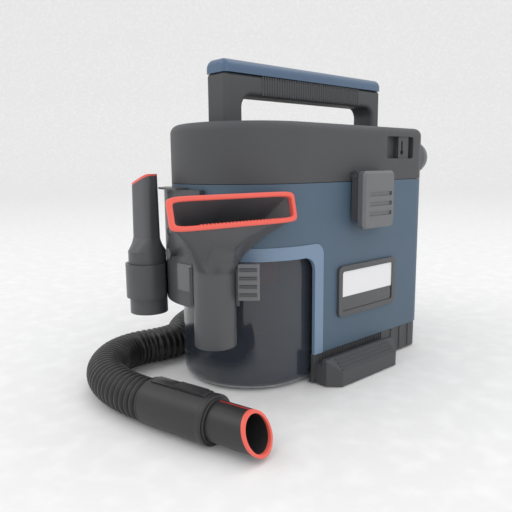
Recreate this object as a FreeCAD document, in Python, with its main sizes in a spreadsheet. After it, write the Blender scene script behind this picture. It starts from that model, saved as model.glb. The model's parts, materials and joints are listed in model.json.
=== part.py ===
# A compact wet and dry vacuum. A blue housing stands on a dark skirt with two feet
# and carries a smoky clear tank. The motor head with its handle sits on top, held by
# a latch on each side. A bracket on the nose stores a wide nozzle and a crevice tool,
# and a ribbed hose runs from an elbow at the back of the head to a wand on the floor.
#
# Axes: X to the right, Y to the back, Z up. Origin: on the floor under the middle of
# the housing. Everything is in millimetres.
import FreeCAD, Part
import math
import os
import Sketcher

V = FreeCAD.Vector
X_AXIS = V(1, 0, 0)
Y_AXIS = V(0, 1, 0)
Z_AXIS = V(0, 0, 1)

# Driving sizes: alias, value, what it is.
SIZES = [
    ("body_width", 165.0, "housing width"),
    ("body_length", 297.0, "housing length, nose to rear face"),
    ("rear_corner", 20.0, "rear corner radius of the plan"),
    ("base_height", 32.4, "floor to the lower edge of the blue housing"),
    ("seam_height", 208.0, "floor to the seam under the head"),
    ("lid_height", 267.0, "floor to the top of the head"),
    ("overall_height", 330.0, "floor to the top of the handle"),
    ("shell_wall", 3.0, "wall of the housing and the head"),
    ("roof_wall", 5.0, "roof of the head"),
    ("lid_round", 9.0, "rounding of the head's top edge"),
    ("seam_gap", 0.6, "gap between housing and head"),
    ("skirt_inset", 1.2, "skirt behind the housing face"),
    ("skirt_lift", 2.0, "skirt above the floor"),
    ("foot_reach", 26.0, "foot beyond the housing side"),
    ("foot_front", -50.0, "front end of the feet"),
    ("foot_rear", 68.0, "rear end of the feet"),
    ("foot_face", 17.0, "height of a foot's upright face"),
    ("foot_crest", 28.5, "height of a foot's ridge"),
    ("pad_thickness", 1.5, "rubber pad under a foot"),
    ("frame_side", -40.3, "rear edge of the window frame"),
    ("frame_top", 148.0, "top edge of the window frame"),
    ("frame_band", 13.0, "width of the window frame's band"),
    ("frame_proud", 0.8, "window frame in front of the housing"),
    ("tank_inset", 8.6, "tank behind the housing face"),
    ("tank_wall", 2.4, "wall of the tank"),
    ("tank_floor", 3.0, "floor of the tank"),
    ("tank_lift", 2.5, "tank above the floor"),
    ("tank_rear", 22.0, "flat back of the tank"),
    ("tank_corner", 14.0, "rear corner radius of the tank"),
    ("tank_round", 10.0, "rounding round the tank's floor"),
    ("tank_top", 203.0, "rim of the tank"),
    ("flange_width", 4.0, "flange of the tank"),
    ("flange_height", 3.0, "thickness of the tank's flange"),
    ("carrier_top", 196.0, "top of the plate that carries the tank"),
    ("carrier_height", 3.0, "thickness of that plate"),
    ("gasket_height", 1.7, "seal under the head"),
    ("handle_width", 31.0, "width of the handle"),
    ("handle_front", -110.0, "front face of the front post"),
    ("handle_rear", 144.0, "rear face of the rear post"),
    ("front_post", 23.0, "front post along Y"),
    ("rear_post", 16.0, "rear post along Y"),
    ("grip_underside", 295.5, "floor to the underside of the grip"),
    ("cap_height", 13.4, "blue cap on the handle"),
    ("motor_x", -24.0, "motor axis"),
    ("motor_y", 84.0, "motor axis"),
    ("motor_radius", 36.0, "motor can"),
    ("motor_length", 80.0, "motor can"),
    ("fan_radius", 40.0, "impeller"),
    ("fan_clearance", 3.0, "round the impeller"),
    ("shaft_radius", 4.0, "motor shaft"),
    ("shaft_clearance", 0.03, "shaft in its bearings"),
    ("bearing_radius", 11.0, "ball bearing"),
    ("filter_x", -34.0, "filter axis"),
    ("filter_y", -20.0, "filter axis"),
    ("filter_radius", 34.0, "foam sleeve"),
    ("cage_radius", 24.0, "cage inside the foam"),
    ("float_radius", 12.0, "float ball"),
    ("float_travel", 40.0, "rise of the float ball"),
    ("elbow_x", 53.0, "inlet axis"),
    ("elbow_z", 233.5, "inlet axis"),
    ("elbow_radius", 20.5, "outside of the elbow"),
    ("elbow_bend", 26.0, "centreline bend of the elbow"),
    ("duct_radius", 18.5, "outside of the inlet duct"),
    ("pipe_wall", 2.5, "wall of elbow, duct, nozzle and wand"),
    ("hose_radius", 19.5, "over the ribs of the hose"),
    ("hose_wall", 3.0, "ribs and wall of the hose"),
    ("cuff_radius", 21.0, "cuffs of the hose"),
    ("wand_radius", 17.0, "wand tube"),
    ("socket_clearance", 0.3, "wand tube in a tool's socket"),
    ("rim_height", 4.0, "soft red rims"),
    ("latch_front", 0.0, "front edge of a latch"),
    ("latch_rear", 54.0, "rear edge of a latch"),
    ("latch_bottom", 159.0, "lower edge of a latch"),
    ("latch_top", 219.0, "upper edge of a latch"),
    ("latch_reach", 20.0, "latch face beyond the housing side"),
    ("latch_cover", 8.5, "thickness of a latch's grey cover"),
    ("latch_pivot", 214.0, "height of a latch's pin"),
    ("pin_radius", 1.6, "latch pin"),
    ("pin_clearance", 0.05, "latch on its pin"),
    ("move_clearance", 0.5, "between parts that move past each other"),
    ("badge_length", 102.0, "badge"),
    ("badge_height", 55.0, "badge"),
    ("badge_centre_y", 33.0, "badge"),
    ("badge_centre_z", 92.5, "badge"),
    ("nozzle_x", 52.0, "pipe axis of the wide nozzle"),
    ("nozzle_y", -157.0, "pipe axis of the wide nozzle"),
    ("nozzle_bottom", 60.0, "open lower end of the nozzle's pipe"),
    ("nozzle_width", 130.0, "mouth of the wide nozzle"),
    ("nozzle_gap", 27.0, "height of that mouth"),
    ("crevice_x", -60.0, "axis of the crevice tool"),
    ("crevice_y", -159.0, "axis of the crevice tool"),
    ("crevice_bottom", 72.0, "lower end of the crevice tool"),
    ("crevice_top", 218.0, "upper end of the crevice tool"),
    ("bracket_radial", 7.4, "thickness of the bracket's plate"),
    ("clip_wall", 3.0, "clips of the bracket"),
]

doc = FreeCAD.newDocument("shop_vacuum")
sheet = doc.addObject("Spreadsheet::Sheet", "Sizes")
for row, (alias, value, note) in enumerate(SIZES, 1):
    sheet.set("A%d" % row, note)
    sheet.set("B%d" % row, str(value))
    sheet.setAlias("B%d" % row, alias)
doc.recompute()


def size(alias):
    """A driving size, in millimetres."""
    return float(sheet.get(alias))


# Places that follow from the driving sizes.
HALF = size("body_width") / 2
NOSE_Y = -size("body_length") / 2 + HALF
REAR_Y = size("body_length") / 2
WALL = size("shell_wall")
SEAM = size("seam_height")
HEAD_BOTTOM = SEAM + size("seam_gap")
LID_TOP = size("lid_height")
BASE_TOP = size("base_height")
FRAME_SIDE = size("frame_side")
TANK_HALF = HALF - size("tank_inset")
PLATE_BOTTOM = size("tank_top") + 0.3 + size("gasket_height")
PLATE_TOP = HEAD_BOTTOM + 2.0
MOTOR = V(size("motor_x"), size("motor_y"), 0)
FILTER = V(size("filter_x"), size("filter_y"), 0)
NOZZLE = V(size("nozzle_x"), size("nozzle_y"), 0)
CREVICE = V(size("crevice_x"), size("crevice_y"), 0)
ELBOW_X = size("elbow_x")
ELBOW_Z = size("elbow_z")
SOCKET = size("wand_radius") + size("socket_clearance")
TOOL_RADIUS = SOCKET + size("pipe_wall")
INLET = V(ELBOW_X, NOSE_Y + 4.0, 0)
FAR = 400.0

sub_parts = []


# ---------------------------------------------------------------- small helpers
def keep(item, label):
    """Names a sub-part and lists it for export."""
    item.Label = label
    sub_parts.append(item)
    return item


def feature(label, shape):
    """A sub-part whose shape comes from Part's own functions."""
    item = doc.addObject("Part::Feature", label)
    item.Shape = shape
    return keep(item, label)


def outline(points):
    """Closed outline of straight edges."""
    closed = list(points) + [points[0]]
    return [Part.LineSegment(a, b) for a, b in zip(closed, closed[1:])]


def rounded_outline(points, radii):
    """Closed outline of straight edges, with a round of its own at each corner."""
    edges = []
    count = len(points)
    starts = []
    ends = []
    for i, corner in enumerate(points):
        before = (points[i - 1] - corner).normalize()
        after = (points[(i + 1) % count] - corner).normalize()
        half_angle = before.getAngle(after) / 2
        radius = radii[i]
        reach = radius / math.tan(half_angle)
        middle = (before + after).normalize()
        apex = corner + middle * (radius / math.sin(half_angle) - radius)
        starts.append(corner + before * reach)
        ends.append(corner + after * reach)
        if radius > 0:
            edges.append(Part.Arc(starts[i], apex, ends[i]))
    joined = []
    for i in range(count):
        following = (i + 1) % count
        if (starts[following] - ends[i]).Length > 1e-6:
            joined.append(Part.LineSegment(ends[i], starts[following]))
    return edges + joined


def face_of(edges):
    """A flat face inside closed edges."""
    sorted_edges = Part.sortEdges([edge.toShape() for edge in edges])[0]
    return Part.Face(Part.Wire(sorted_edges))


def prism(edges, direction):
    """A flat outline carried along a direction."""
    return face_of(edges).extrude(direction)


def plan(inset, half=None, rear=None, corner=None):
    """Plan of the housing: round nose, straight sides, rounded rear corners."""
    half = HALF if half is None else half
    rear = REAR_Y if rear is None else rear
    corner = size("rear_corner") if corner is None else corner
    r = half - inset
    c = max(corner - inset, 1.0)
    back = rear - inset
    diagonal = c * (1 - math.sqrt(0.5))
    return [
        Part.Arc(V(-r, NOSE_Y, 0), V(0, NOSE_Y - r, 0), V(r, NOSE_Y, 0)),
        Part.LineSegment(V(r, NOSE_Y, 0), V(r, back - c, 0)),
        Part.Arc(V(r, back - c, 0), V(r - diagonal, back - diagonal, 0), V(r - c, back, 0)),
        Part.LineSegment(V(r - c, back, 0), V(c - r, back, 0)),
        Part.Arc(V(c - r, back, 0), V(diagonal - r, back - diagonal, 0), V(-r, back - c, 0)),
        Part.LineSegment(V(-r, back - c, 0), V(-r, NOSE_Y, 0)),
    ]


def tank_plan(inset):
    """Plan of the tank: round nose, flat back."""
    return plan(inset, TANK_HALF, size("tank_rear"), size("tank_corner"))


def upright(edges, low, high):
    """A plan outline carried from one height to another."""
    solid = prism(edges, V(0, 0, high - low))
    solid.translate(V(0, 0, low))
    return solid


def cylinder(radius, low, high, centre=V(0, 0, 0)):
    """An upright cylinder between two heights."""
    return Part.makeCylinder(radius, high - low, V(centre.x, centre.y, low), Z_AXIS)


def ring(outer, inner, low, high, centre=V(0, 0, 0)):
    """An upright ring between two heights."""
    return cylinder(outer, low, high, centre).cut(cylinder(inner, low - 1, high + 1, centre))


def block(x0, x1, y0, y1, z0, z1):
    """A box between two corners, given in any order."""
    low = V(min(x0, x1), min(y0, y1), min(z0, z1))
    return Part.makeBox(abs(x1 - x0), abs(y1 - y0), abs(z1 - z0), low)


def rounded_block(x0, x1, y0, y1, z0, z1, radius):
    """A box with its four edges along X rounded."""
    low_y, high_y = min(y0, y1), max(y0, y1)
    low_z, high_z = min(z0, z1), max(z0, z1)
    x_start = min(x0, x1)
    corners = [
        V(x_start, low_y, low_z),
        V(x_start, high_y, low_z),
        V(x_start, high_y, high_z),
        V(x_start, low_y, high_z),
    ]
    return prism(rounded_outline(corners, [radius] * 4), V(abs(x1 - x0), 0, 0))


def around_nose(angle, radius, height=0.0):
    """A point at an angle in degrees round the nose's centre."""
    a = math.radians(angle)
    return V(radius * math.cos(a), NOSE_Y + radius * math.sin(a), height)


def curved_plate(inner, outer, start, end, low, high):
    """A plate bent round the nose's centre."""
    middle = (start + end) / 2
    edges = [
        Part.Arc(around_nose(start, outer), around_nose(middle, outer), around_nose(end, outer)),
        Part.LineSegment(around_nose(end, outer), around_nose(end, inner)),
        Part.Arc(around_nose(end, inner), around_nose(middle, inner), around_nose(start, inner)),
        Part.LineSegment(around_nose(start, inner), around_nose(start, outer)),
    ]
    return upright(edges, low, high)


def compound(solids):
    """Several separate solids as one sub-part."""
    return Part.makeCompound(solids)


# ------------------------------------------------------------ PartDesign helpers
def origin_plane(body, role):
    """One of a body's own origin planes."""
    for item in body.Origin.OriginFeatures:
        if item.Role == role:
            return item
    raise ValueError(role)


def sketch_on(body, name, role, edges, offset):
    """A sketch on a body's own plane, moved along its normal by an expression."""
    sketch = body.newObject("Sketcher::SketchObject", name)
    sketch.AttachmentSupport = (origin_plane(body, role), "")
    sketch.MapMode = "FlatFace"
    sketch.setExpression("AttachmentOffset.Base.z", offset)
    for edge in edges:
        sketch.addGeometry(edge, False)
    doc.recompute()
    return sketch


def pad(body, sketch, length):
    """Adds a pad whose length is an expression."""
    item = body.newObject("PartDesign::Pad", sketch.Name + "_pad")
    item.Profile = sketch
    item.setExpression("Length", length)
    sketch.Visibility = False
    doc.recompute()
    return item


def pocket(body, sketch, length=None):
    """Cuts against the sketch's normal, through everything unless a length is given."""
    before = body.Shape.Volume
    item = body.newObject("PartDesign::Pocket", sketch.Name + "_cut")
    item.Profile = sketch
    if length is None:
        item.Type = "ThroughAll"
    else:
        item.setExpression("Length", length)
    doc.recompute()
    if body.Shape.Volume > before - 1.0:
        raise RuntimeError("%s cuts nothing" % sketch.Name)
    return item


def round_edges(body, radius, wanted):
    """Rounds the edges of a body that a test picks, by an expression."""
    base = body.Tip
    names = ["Edge%d" % (i + 1) for i, edge in enumerate(base.Shape.Edges) if wanted(edge)]
    item = body.newObject("PartDesign::Fillet", body.Name + "_round%d" % len(body.Group))
    item.Base = (base, names)
    item.setExpression("Radius", radius)
    doc.recompute()
    return item


def level(edge, height):
    """True for an edge that lies at one height."""
    box = edge.BoundBox
    return abs(box.ZMin - height) < 0.01 and abs(box.ZMax - height) < 0.01


def new_body(name):
    """A PartDesign body, listed under its own name."""
    return keep(doc.addObject("PartDesign::Body", name), name)


# ------------------------------------------------------------------ the housing
def side_view(y0, y1, z0, z1, radius):
    """Outline in the YZ plane whose upper rear corner is rounded."""
    corners = [V(y0, z0, 0), V(y1, z0, 0), V(y1, z1, 0), V(y0, z1, 0)]
    return rounded_outline(corners, [0, 0, radius, 0])


def side_prism(y0, y1, z0, z1, radius):
    """The same outline in space, carried right through the housing."""
    corners = [V(-FAR, y0, z0), V(-FAR, y1, z0), V(-FAR, y1, z1), V(-FAR, y0, z1)]
    return prism(rounded_outline(corners, [0, 0, radius, 0]), V(2 * FAR, 0, 0))


FRAME_ROUND = 12.0
WINDOW_ROUND = 14.0
WINDOW_SIDE = FRAME_SIDE - size("frame_band")
WINDOW_TOP = size("frame_top") - size("frame_band")
FIT = 0.15


def make_housing_shell():
    body = new_body("housing_shell")
    pad(body, sketch_on(body, "housing_plan", "XY_Plane", plan(0), "Sizes.base_height"),
        "Sizes.seam_height - Sizes.base_height")
    pocket(body, sketch_on(body, "housing_inside", "XY_Plane", plan(WALL), "Sizes.seam_height"))
    opening = side_view(-FAR, FRAME_SIDE, 0, size("frame_top"), FRAME_ROUND)
    pocket(body, sketch_on(body, "housing_window", "YZ_Plane", opening, "Sizes.body_width"))


def make_window_frame():
    proud = size("frame_proud")
    band = upright(plan(-proud), BASE_TOP, size("frame_top") - FIT)
    band = band.cut(upright(plan(WALL), BASE_TOP - 1, size("frame_top") + 1))
    band = band.common(side_prism(-FAR, FRAME_SIDE - FIT, 0, size("frame_top") - FIT, FRAME_ROUND))
    band = band.cut(side_prism(-FAR, WINDOW_SIDE, 0, WINDOW_TOP, WINDOW_ROUND))
    feature("window_frame", band)


def make_base_skirt():
    body = new_body("base_skirt")
    inset = size("skirt_inset")
    floor = 3.0
    lift = size("skirt_lift")
    pad(body, sketch_on(body, "skirt_plan", "XY_Plane", plan(inset), "Sizes.skirt_lift"),
        "Sizes.base_height - Sizes.skirt_lift")
    pocket(body, sketch_on(body, "skirt_inside", "XY_Plane", plan(inset + WALL), "Sizes.base_height"),
           "Sizes.base_height - Sizes.skirt_lift - %g" % floor)
    pocket(body, sketch_on(body, "skirt_tank", "XY_Plane", tank_plan(-1.5), "Sizes.base_height"))
    front = outline([
        V(-FAR, lift - 1, 0), V(WINDOW_SIDE, lift - 1, 0),
        V(WINDOW_SIDE, FAR, 0), V(-FAR, FAR, 0)])
    pocket(body, sketch_on(body, "skirt_front", "YZ_Plane", front, "Sizes.body_width"))


def make_foot(side, name):
    body = new_body(name)
    inner = side * (HALF - size("skirt_inset"))
    outer = side * (HALF + size("foot_reach"))
    ridge = side * (HALF + size("foot_reach") - 13.0)
    trough = side * (HALF + size("foot_reach") - 17.5)
    bottom = size("pad_thickness")
    trough_z = size("foot_crest") - 7.0
    points = [
        V(inner, bottom, 0), V(outer, bottom, 0), V(outer, size("foot_face"), 0),
        V(ridge, size("foot_crest"), 0), V(trough, size("foot_crest"), 0),
        V(trough, trough_z, 0), V(inner, trough_z, 0),
    ]
    pad(body, sketch_on(body, name + "_profile", "XZ_Plane", outline(points), "-Sizes.foot_rear"),
        "Sizes.foot_rear - Sizes.foot_front")
    base = body.Tip

    def corner(edge):
        box = edge.BoundBox
        return box.XLength < 0.01 and box.YLength < 0.01 and abs(box.XMin - outer) < 0.01

    names = ["Edge%d" % (i + 1) for i, edge in enumerate(base.Shape.Edges) if corner(edge)]
    chamfer = body.newObject("PartDesign::Chamfer", name + "_ends")
    chamfer.Base = (base, names)
    chamfer.Size = 12.0
    doc.recompute()


PAD_RADIUS = 6.5


def make_floor_pads():
    foot_x = HALF + size("foot_reach") - 13.0
    rear_x = HALF - 22.0
    end = 16.0
    pads = []
    for side in (-1, 1):
        for y in (size("foot_front") + end, size("foot_rear") - end):
            pads.append(cylinder(PAD_RADIUS, 0, size("pad_thickness"), V(side * foot_x, y, 0)))
        pads.append(cylinder(PAD_RADIUS, 0, size("skirt_lift"), V(side * rear_x, REAR_Y - 24.0, 0)))
    pads.append(cylinder(PAD_RADIUS, 0, size("tank_lift"), V(0, 0, 0)))
    feature("floor_pads", compound(pads))


def make_tank():
    low = size("tank_lift")
    wall = size("tank_wall")
    top = size("tank_top")
    carrier = size("carrier_top")

    def vessel(inset, bottom, lid, radius):
        solid = upright(tank_plan(inset), bottom, lid)
        return solid.makeFillet(radius, [edge for edge in solid.Edges if level(edge, bottom)])

    flange = upright(tank_plan(-size("flange_width")), carrier, carrier + size("flange_height"))
    outside = vessel(0.0, low, top, size("tank_round")).fuse(flange)
    inside = vessel(wall, low + size("tank_floor"), top + 1, size("tank_round") - wall)
    feature("tank", outside.cut(inside).removeSplitter())


def make_tank_carrier():
    high = size("carrier_top")
    low = high - size("carrier_height")
    plate = upright(plan(WALL), low, high)
    plate = plate.cut(upright(tank_plan(-0.6), low - 1, high + 1))
    plate = plate.cut(cylinder(size("motor_radius") + 6, low - 1, high + 1, MOTOR))
    feature("tank_carrier", plate)


def carrier_screw_places():
    return [V(side * (HALF - 10.0), y, 0) for side in (-1, 1) for y in (60.0, 120.0)]


def make_carrier_screws():
    high = size("carrier_top")
    heads = []
    for place in carrier_screw_places():
        heads.append(cylinder(3.2, high, high + 2.2, place))
    feature("carrier_screws", compound(heads))


def make_badge():
    half_y = size("badge_length") / 2
    half_z = size("badge_height") / 2
    y = size("badge_centre_y")
    z = size("badge_centre_z")
    border = 6.0
    outer = rounded_block(HALF, HALF + 3.2, y - half_y, y + half_y, z - half_z, z + half_z, 6.0)
    y_in = half_y - border
    z_in = half_z - border
    inside = rounded_block(HALF - 1, HALF + 5, y - y_in, y + y_in, z - z_in, z + z_in, 2.5)
    feature("badge_frame", outer.cut(inside))
    plate = rounded_block(HALF, HALF + 2.0, y - y_in, y + y_in, z - z_in, z + z_in, 2.5)
    feature("badge_plate", plate)


# -------------------------------------------------------------------- the head
RECESS_FRONT = 66.0
RECESS_REAR = 118.0
RECESS_LOW = 232.0
RECESS_HIGH = 256.5
VENT_FRONT = 62.0
VENT_REAR = 106.0
VENT_LOW = 218.0
VENT_HIGH = 240.0
GLAND_X = -52.0
GLAND_Z = 236.0
GLAND_BORE = 3.6
SWITCH_X = -46.0
SWITCH_Y = 10.0


def make_head_shell():
    body = new_body("head_shell")
    pad(body, sketch_on(body, "head_plan", "XY_Plane", plan(0), "Sizes.seam_height + Sizes.seam_gap"),
        "Sizes.lid_height - Sizes.seam_height - Sizes.seam_gap")
    round_edges(body, "Sizes.lid_round", lambda edge: level(edge, LID_TOP))
    depth = "Sizes.lid_height - Sizes.seam_height - Sizes.seam_gap - Sizes.roof_wall"
    inside = sketch_on(body, "head_inside", "XY_Plane", plan(WALL), "Sizes.lid_height - Sizes.roof_wall")
    pocket(body, inside, depth)
    recess = rounded_outline(
        [V(RECESS_FRONT, RECESS_LOW, 0), V(RECESS_REAR, RECESS_LOW, 0),
         V(RECESS_REAR, RECESS_HIGH, 0), V(RECESS_FRONT, RECESS_HIGH, 0)], [3, 3, 3, 3])
    pocket(body, sketch_on(body, "head_recess", "YZ_Plane", recess, "Sizes.body_width / 2 + 1"), "12")
    vent = outline([V(VENT_FRONT, VENT_LOW, 0), V(VENT_REAR, VENT_LOW, 0),
                    V(VENT_REAR, VENT_HIGH, 0), V(VENT_FRONT, VENT_HIGH, 0)])
    pocket(body, sketch_on(body, "head_vent", "YZ_Plane", vent, "-Sizes.body_width / 2 + 10"), "12")
    inlet = [Part.Circle(V(ELBOW_X, ELBOW_Z, 0), Z_AXIS, size("elbow_radius") - size("pipe_wall")),
             Part.Circle(V(GLAND_X, GLAND_Z, 0), Z_AXIS, GLAND_BORE)]
    pocket(body, sketch_on(body, "head_rear_holes", "XZ_Plane", inlet, "-Sizes.body_length / 2 + 6"), "12")
    switch_hole = outline([V(SWITCH_X - 8, SWITCH_Y - 14, 0), V(SWITCH_X + 8, SWITCH_Y - 14, 0),
                           V(SWITCH_X + 8, SWITCH_Y + 14, 0), V(SWITCH_X - 8, SWITCH_Y + 14, 0)])
    pocket(body, sketch_on(body, "head_switch", "XY_Plane", switch_hole, "Sizes.lid_height + 1"),
           "Sizes.roof_wall + 2")


def make_head_plate():
    low = PLATE_BOTTOM
    spigot = upright(plan(WALL + size("move_clearance")), low, HEAD_BOTTOM)
    step = upright(plan(WALL), HEAD_BOTTOM, PLATE_TOP)
    plate = spigot.fuse(step)
    plate = plate.cut(cylinder(size("bearing_radius") + 4, low - 1, PLATE_TOP + 1, MOTOR))
    plate = plate.cut(cylinder(size("cage_radius") - 4, low - 1, PLATE_TOP + 1, FILTER))
    plate = plate.cut(cylinder(size("duct_radius") - size("pipe_wall"), low - 1, PLATE_TOP + 1, INLET))
    feature("head_plate", plate.removeSplitter())




def make_head_gasket():
    low = PLATE_BOTTOM - size("gasket_height")
    seal = upright(tank_plan(-1.0), low, PLATE_BOTTOM)
    feature("head_gasket", seal.cut(upright(tank_plan(size("tank_wall") + 1.0), low - 1, PLATE_BOTTOM + 1)))


def make_handle():
    half = size("handle_width") / 2
    front = size("handle_front")
    rear = size("handle_rear")
    top = size("overall_height") - size("cap_height")
    under = size("grip_underside")
    body = new_body("handle_core")
    arch = rounded_outline([V(front, LID_TOP, 0), V(rear, LID_TOP, 0), V(rear, top, 0), V(front, top, 0)],
                           [0, 0, 3, 3])
    pad(body, sketch_on(body, "handle_outline", "YZ_Plane", arch, "-Sizes.handle_width / 2"),
        "Sizes.handle_width")
    hand = rounded_outline(
        [V(front + size("front_post"), LID_TOP, 0), V(rear - size("rear_post"), LID_TOP, 0),
         V(rear - size("rear_post"), under, 0), V(front + size("front_post"), under, 0)],
        [0, 0, 12, 12])
    pocket(body, sketch_on(body, "handle_hand_hole", "YZ_Plane", hand, "Sizes.handle_width / 2"))

    def long_edge(edge):
        box = edge.BoundBox
        at_side = abs(abs(box.XMin) - half) < 0.01 and box.XLength < 0.01
        return at_side and box.ZMin > LID_TOP - 0.01 and not level(edge, LID_TOP) and not level(edge, top) \
            and (box.ZMax < top - 2.9 or box.ZMin < LID_TOP + 1)

    round_edges(body, "5", long_edge)
    crown = rounded_outline(
        [V(-half - 0.8, top, 0), V(half + 0.8, top, 0),
         V(half + 0.8, top + size("cap_height"), 0), V(-half - 0.8, top + size("cap_height"), 0)],
        [0, 0, 9, 9])
    cap = new_body("handle_cap")
    pad(cap, sketch_on(cap, "cap_profile", "XZ_Plane", crown, "-Sizes.handle_rear - 1"),
        "Sizes.handle_rear - Sizes.handle_front + 2")

    def end_edge(edge):
        box = edge.BoundBox
        at_front = abs(box.YMin - front + 1) < 0.01
        at_rear = abs(box.YMin - rear - 1) < 0.01
        return box.YLength < 0.01 and (at_front or at_rear) and not level(edge, top)

    round_edges(cap, "6", end_edge)
    places = [V(0, front + size("front_post") / 2, LID_TOP - size("roof_wall") - 2.2),
              V(0, rear - size("rear_post") / 2 - 2, LID_TOP - size("roof_wall") - 2.2)]
    feature("handle_screws", compound([Part.makeCylinder(3.4, 2.2, p, Z_AXIS) for p in places]))


def make_switch():
    rim = rounded_outline(
        [V(SWITCH_X - 11, SWITCH_Y - 18, LID_TOP), V(SWITCH_X + 11, SWITCH_Y - 18, LID_TOP),
         V(SWITCH_X + 11, SWITCH_Y + 18, LID_TOP), V(SWITCH_X - 11, SWITCH_Y + 18, LID_TOP)], [6] * 4)

    def upright_box(half_x, half_y, low, high):
        return block(SWITCH_X - half_x, SWITCH_X + half_x, SWITCH_Y - half_y, SWITCH_Y + half_y, low, high)

    bezel = prism(rim, V(0, 0, 2.0))
    feature("switch_bezel", bezel.cut(upright_box(7.5, 13.5, LID_TOP - 1, LID_TOP + 3)))
    rocker = upright_box(6.5, 11.5, LID_TOP - 5, LID_TOP + 3.4)
    dish = Part.makeCylinder(60, 30, V(SWITCH_X - 15, SWITCH_Y, LID_TOP + 2.4 + 60), X_AXIS)
    axle = Part.makeCylinder(1.6, 14.6, V(SWITCH_X - 7.3, SWITCH_Y, LID_TOP - 3), X_AXIS)
    rocker = rocker.cut(dish).fuse(axle)
    feature("power_switch", rocker)


def make_vent():
    depth = 2.6
    outside = -HALF + FIT
    frame = block(outside, outside + depth, VENT_FRONT + FIT, VENT_REAR - FIT, VENT_LOW + FIT, VENT_HIGH - FIT)
    slot_count = 5
    pitch = (VENT_HIGH - VENT_LOW) / (slot_count + 0.6)
    for i in range(slot_count):
        z = VENT_LOW + pitch * (i + 0.8)
        frame = frame.cut(block(-HALF - 1, -HALF + 6, VENT_FRONT + 4, VENT_REAR - 4, z - 1.2, z + 1.2))
    feature("exhaust_grille", frame)


def make_gland():
    at = V(GLAND_X, REAR_Y, GLAND_Z)
    nut = Part.makeCylinder(10.0, 3.0, at, Y_AXIS).fuse(Part.makeCylinder(7.5, 9.0, at, Y_AXIS))
    feature("cord_gland", nut.cut(Part.makeCylinder(GLAND_BORE, 20, at - Y_AXIS * 5, Y_AXIS)))


def make_keyhole_plate():
    back = HALF - 10.0
    tray = block(back, HALF - WALL, RECESS_FRONT - 2, RECESS_REAR + 2, RECESS_LOW - 2, RECESS_HIGH + 2)
    tray = tray.cut(block(back + 2, HALF, RECESS_FRONT, RECESS_REAR, RECESS_LOW, RECESS_HIGH))
    lug = block(back + 2, HALF - 1.5, RECESS_FRONT + 24, RECESS_REAR - 8, RECESS_LOW, RECESS_HIGH)
    slot = block(HALF - 6, HALF, RECESS_FRONT + 29.5, RECESS_FRONT + 32.5, RECESS_LOW + 6, RECESS_HIGH - 5)
    eye = Part.makeCylinder(3.0, 6, V(HALF - 6, RECESS_FRONT + 31, RECESS_LOW + 7), X_AXIS)
    feature("keyhole_plate", tray.fuse(lug).cut(slot).cut(eye).removeSplitter())


# ------------------------------------------------------- air path and the motor
def tube_along(wire, outer, inner):
    """A round tube along a path."""
    start = wire.Vertexes[0].Point
    heading = wire.Edges[0].tangentAt(wire.Edges[0].FirstParameter)
    if (wire.Edges[0].valueAt(wire.Edges[0].FirstParameter) - start).Length > 1e-6:
        raise RuntimeError("the path runs backwards")
    swept = []
    for radius in (outer, inner):
        circle = Part.Wire(Part.makeCircle(radius, start, heading))
        swept.append(wire.makePipeShell([circle], True, False))
    return swept[0].cut(swept[1])


def bent_path(points, radii):
    """Straight runs joined by tangent arcs, one radius for each inner point."""
    edges = []
    here = points[0]
    for i in range(1, len(points) - 1):
        corner = points[i]
        before = (points[i - 1] - corner).normalize()
        after = (points[i + 1] - corner).normalize()
        half_angle = before.getAngle(after) / 2
        reach = radii[i - 1] / math.tan(half_angle)
        apex = corner + (before + after).normalize() * (radii[i - 1] / math.sin(half_angle) - radii[i - 1])
        if (corner + before * reach - here).Length > 1e-6:
            edges.append(Part.LineSegment(here, corner + before * reach).toShape())
        edges.append(Part.Arc(corner + before * reach, apex, corner + after * reach).toShape())
        here = corner + after * reach
    if (points[-1] - here).Length > 1e-6:
        edges.append(Part.LineSegment(here, points[-1]).toShape())
    return Part.Wire(edges)


def make_inlet():
    wall = size("pipe_wall")
    duct = size("duct_radius")
    bend = duct + 1.5
    corner = V(ELBOW_X, INLET.y, ELBOW_Z)
    path = bent_path([V(ELBOW_X, REAR_Y - WALL, ELBOW_Z), corner, V(ELBOW_X, INLET.y, PLATE_TOP)], [bend])
    pipe = tube_along(path, duct, duct - wall)
    feature("inlet_duct", pipe.common(upright(plan(WALL), PLATE_TOP, LID_TOP)))
    outer = size("elbow_radius")
    turn = size("elbow_bend")
    rear = REAR_Y + 3.5 + turn
    seat = V(ELBOW_X, REAR_Y - 8.0, ELBOW_Z)
    head = upright(plan(0), HEAD_BOTTOM, LID_TOP)
    path = bent_path([seat, V(ELBOW_X, rear, ELBOW_Z), V(ELBOW_END, rear, ELBOW_Z)], [turn])
    feature("hose_elbow", tube_along(path, outer, outer - wall).cut(head))
    collar = Part.makeCylinder(outer + 4.0, 11.0, seat, Y_AXIS)
    collar = collar.cut(Part.makeCylinder(outer, 20, seat, Y_AXIS))
    feature("elbow_collar", collar.cut(head))


ELBOW_END = 12.0
DEFLECTOR = V(25.0, NOSE_Y - 14.0, 0)


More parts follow.
